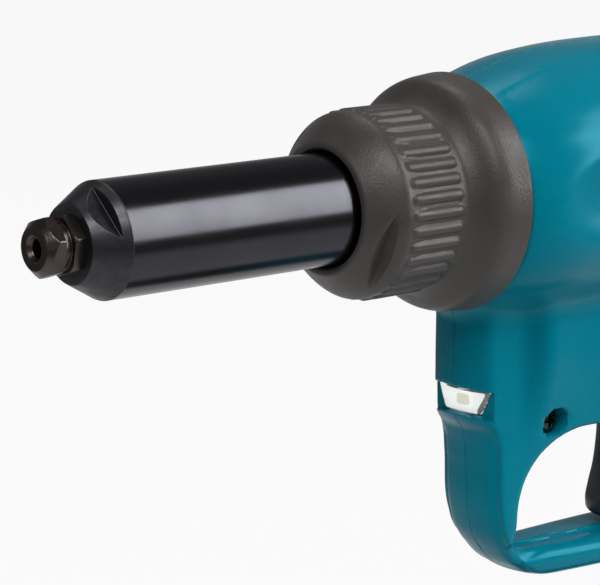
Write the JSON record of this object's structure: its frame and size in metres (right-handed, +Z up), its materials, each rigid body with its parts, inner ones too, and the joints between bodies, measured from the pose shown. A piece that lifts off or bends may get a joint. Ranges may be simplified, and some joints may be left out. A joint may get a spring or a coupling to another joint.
{
  "type": "battery rivet tool",
  "caption": "Pistol-grip battery rivet tool with a black nose tube, ribbed lock collar, hand guard, trigger, slide-on battery and rear mandrel container.",
  "frame": {"origin": "centre of the box in X and Y, at the battery's base", "axes": "+X along the barrel from the nose to the rear, +Z up, the tool standing on its battery"},
  "size_m": [0.3198, 0.075, 0.2839],
  "materials": {
    "teal_shell": "moulded, fine grain",
    "grip_rubber": "moulded, ribbed",
    "collar_rubber": "moulded, matt",
    "black_steel": "blackened, turned",
    "bright_steel": "ground",
    "laminations": "stacked",
    "cast_alloy": "cast and machined",
    "black_plastic": "moulded, fine grain",
    "trigger_plastic": "moulded, satin",
    "board": "lacquered",
    "clear_lens": "polished",
    "smoke_plastic": "clear, smoke tinted",
    "terminal_brass": "plated",
    "cell_wrap": "shrink film"
  },
  "bodies": {
    "housing": {"housing_left": "teal_shell", "housing_right": "teal_shell", "grip": "grip_rubber", "housing_screws": "black_steel", "nose_tube": "black_steel", "nosepiece": "black_steel", "front_frame": "cast_alloy", "mandrel_tube": "bright_steel", "container_socket": "black_plastic", "nut_bearings": "bright_steel", "gear_case": "cast_alloy", "pinion_bearings": "bright_steel", "ring_gear": "bright_steel", "stator": "laminations", "motor_bearings": "bright_steel", "light_board": "board", "light_lens": "clear_lens", "switch_body": "black_plastic", "controller": "board", "terminal_block": "terminal_brass"},
    "collar": {"lock_collar": "collar_rubber"},
    "spindle": {"pull_spindle": "bright_steel", "jaw_case": "bright_steel", "jaws": "bright_steel", "jaw_pusher": "bright_steel", "jaw_spring": "bright_steel"},
    "nut": {"ball_nut": "bright_steel", "nut_gear": "bright_steel"},
    "carrier": {"carrier": "bright_steel"},
    "planet_1": {"planet_gear_1": "bright_steel"},
    "planet_2": {"planet_gear_2": "bright_steel"},
    "planet_3": {"planet_gear_3": "bright_steel"},
    "rotor": {"rotor_shaft": "bright_steel", "rotor_core": "laminations", "fan": "black_plastic"},
    "trigger": {"trigger": "trigger_plastic"},
    "battery": {"battery_upper_case": "black_plastic", "battery_lower_case": "black_plastic", "battery_cells": "cell_wrap"},
    "release": {"release_button": "trigger_plastic"},
    "container": {"mandrel_container": "smoke_plastic"}
  },
  "joints": [
    {"name": "collar_twist", "type": "hinge", "parent": "housing", "child": "collar", "pos_m": [-0.0504, 0, 0.248], "axis": [1, 0, 0], "range_deg": [0, 60]},
    {"name": "nut_spin", "type": "hinge", "parent": "housing", "child": "nut", "pos_m": [0.0546, 0, 0.248], "axis": [1, 0, 0], "range_deg": [0, 2160]},
    {"name": "spindle_pull", "type": "slide", "parent": "housing", "child": "spindle", "axis": [1, 0, 0], "range_m": [0, 0.0301]},
    {"name": "carrier_spin", "type": "hinge", "parent": "housing", "child": "carrier", "pos_m": [0.0496, 0, 0.208], "axis": [1, 0, 0], "range_deg": [-3241, 1]},
    {"name": "rotor_spin", "type": "hinge", "parent": "housing", "child": "rotor", "pos_m": [0.0096, 0, 0.208], "axis": [1, 0, 0], "range_deg": [-16205, 5]},
    {"name": "trigger_pull", "type": "slide", "parent": "housing", "child": "trigger", "axis": [1, 0, 0], "range_m": [0, 0.0065], "stiffness_N_per_m": 600, "springref_m": -0.005},
    {"name": "battery_slide", "type": "slide", "parent": "housing", "child": "battery", "axis": [-1, 0, 0], "range_m": [0, 0.11]},
    {"name": "release_press", "type": "slide", "parent": "battery", "child": "release", "axis": [0, 0, -1], "range_m": [0, 0.003], "stiffness_N_per_m": 1500, "springref_m": -0.002},
    {"name": "container_slide", "type": "slide", "parent": "housing", "child": "container", "axis": [1, 0, 0], "range_m": [0, 0.06]},
    {"name": "planet_spin_1", "type": "hinge", "parent": "carrier", "child": "planet_1", "pos_m": [0.0356, 0, 0.1975], "axis": [1, 0, 0], "range_deg": [-5, 8645]},
    {"name": "planet_spin_2", "type": "hinge", "parent": "carrier", "child": "planet_2", "pos_m": [0.0356, 0.00909, 0.21325], "axis": [1, 0, 0], "range_deg": [-5, 8645]},
    {"name": "planet_spin_3", "type": "hinge", "parent": "carrier", "child": "planet_3", "pos_m": [0.0356, -0.00909, 0.21325], "axis": [1, 0, 0], "range_deg": [-5, 8645]}
  ],
  "couplings": [
    {"joint": "spindle_pull", "follows": "nut_spin", "m_per_rad": 0.00079577},
    {"joint": "carrier_spin", "follows": "nut_spin", "ratio": -1.5},
    {"joint": "rotor_spin", "follows": "nut_spin", "ratio": -7.5},
    {"joint": "planet_spin_1", "follows": "nut_spin", "ratio": 4},
    {"joint": "planet_spin_2", "follows": "nut_spin", "ratio": 4},
    {"joint": "planet_spin_3", "follows": "nut_spin", "ratio": 4}
  ]
}
